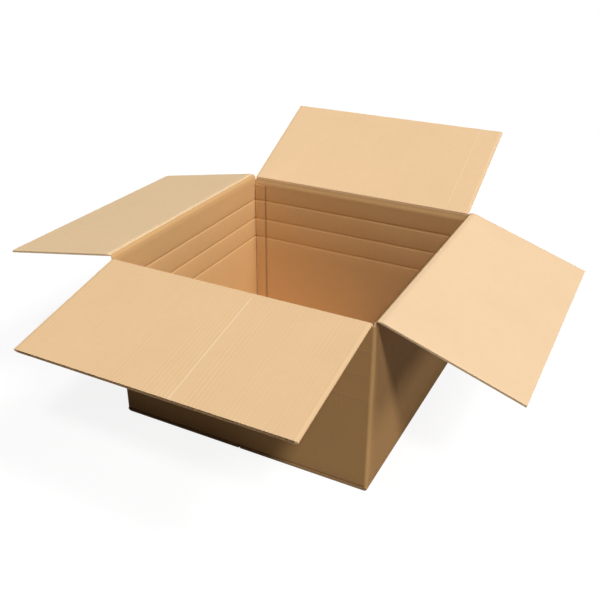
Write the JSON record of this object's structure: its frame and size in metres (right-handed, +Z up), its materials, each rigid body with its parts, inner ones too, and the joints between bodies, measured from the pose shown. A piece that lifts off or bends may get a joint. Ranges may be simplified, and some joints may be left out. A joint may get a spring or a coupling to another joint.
{
  "type": "open cardboard box",
  "caption": "Open square shipping carton of double-wall corrugated board, with hinged top flaps laid outwards and a closed, taped bottom, for packing goods.",
  "frame": {"origin": "middle of the underside, on the surface that the carton stands on", "axes": "+Z up; -Y towards the front wall, +Y towards the rear wall, -X left, +X right"},
  "size_m": [1.0884, 1.0762, 0.4905],
  "materials": {
    "board": "matte kraft paper",
    "tape": "buff packing tape"
  },
  "bodies": {
    "carton": {"carton_body": "board", "bottom_tape": "tape"},
    "front_flap": {"top_flap_front": "board"},
    "rear_flap": {"top_flap_rear": "board"},
    "left_flap": {"top_flap_left": "board"},
    "right_flap": {"top_flap_right": "board"}
  },
  "joints": [
    {"name": "front_flap_fold", "type": "hinge", "parent": "carton", "child": "front_flap", "pos_m": [0, -0.28, 0.3582], "axis": [-1, 0, 0], "range_deg": [-67.6, 192.4]},
    {"name": "rear_flap_fold", "type": "hinge", "parent": "carton", "child": "rear_flap", "pos_m": [0, 0.28, 0.3582], "axis": [1, 0, 0], "range_deg": [-107.3, 152.7]},
    {"name": "left_flap_fold", "type": "hinge", "parent": "carton", "child": "left_flap", "pos_m": [-0.28, 0, 0.365], "axis": [0, 1, 0], "range_deg": [-69.8, 190.2]},
    {"name": "right_flap_fold", "type": "hinge", "parent": "carton", "child": "right_flap", "pos_m": [0.28, 0, 0.365], "axis": [0, -1, 0], "range_deg": [-61.2, 198.8]}
  ]
}
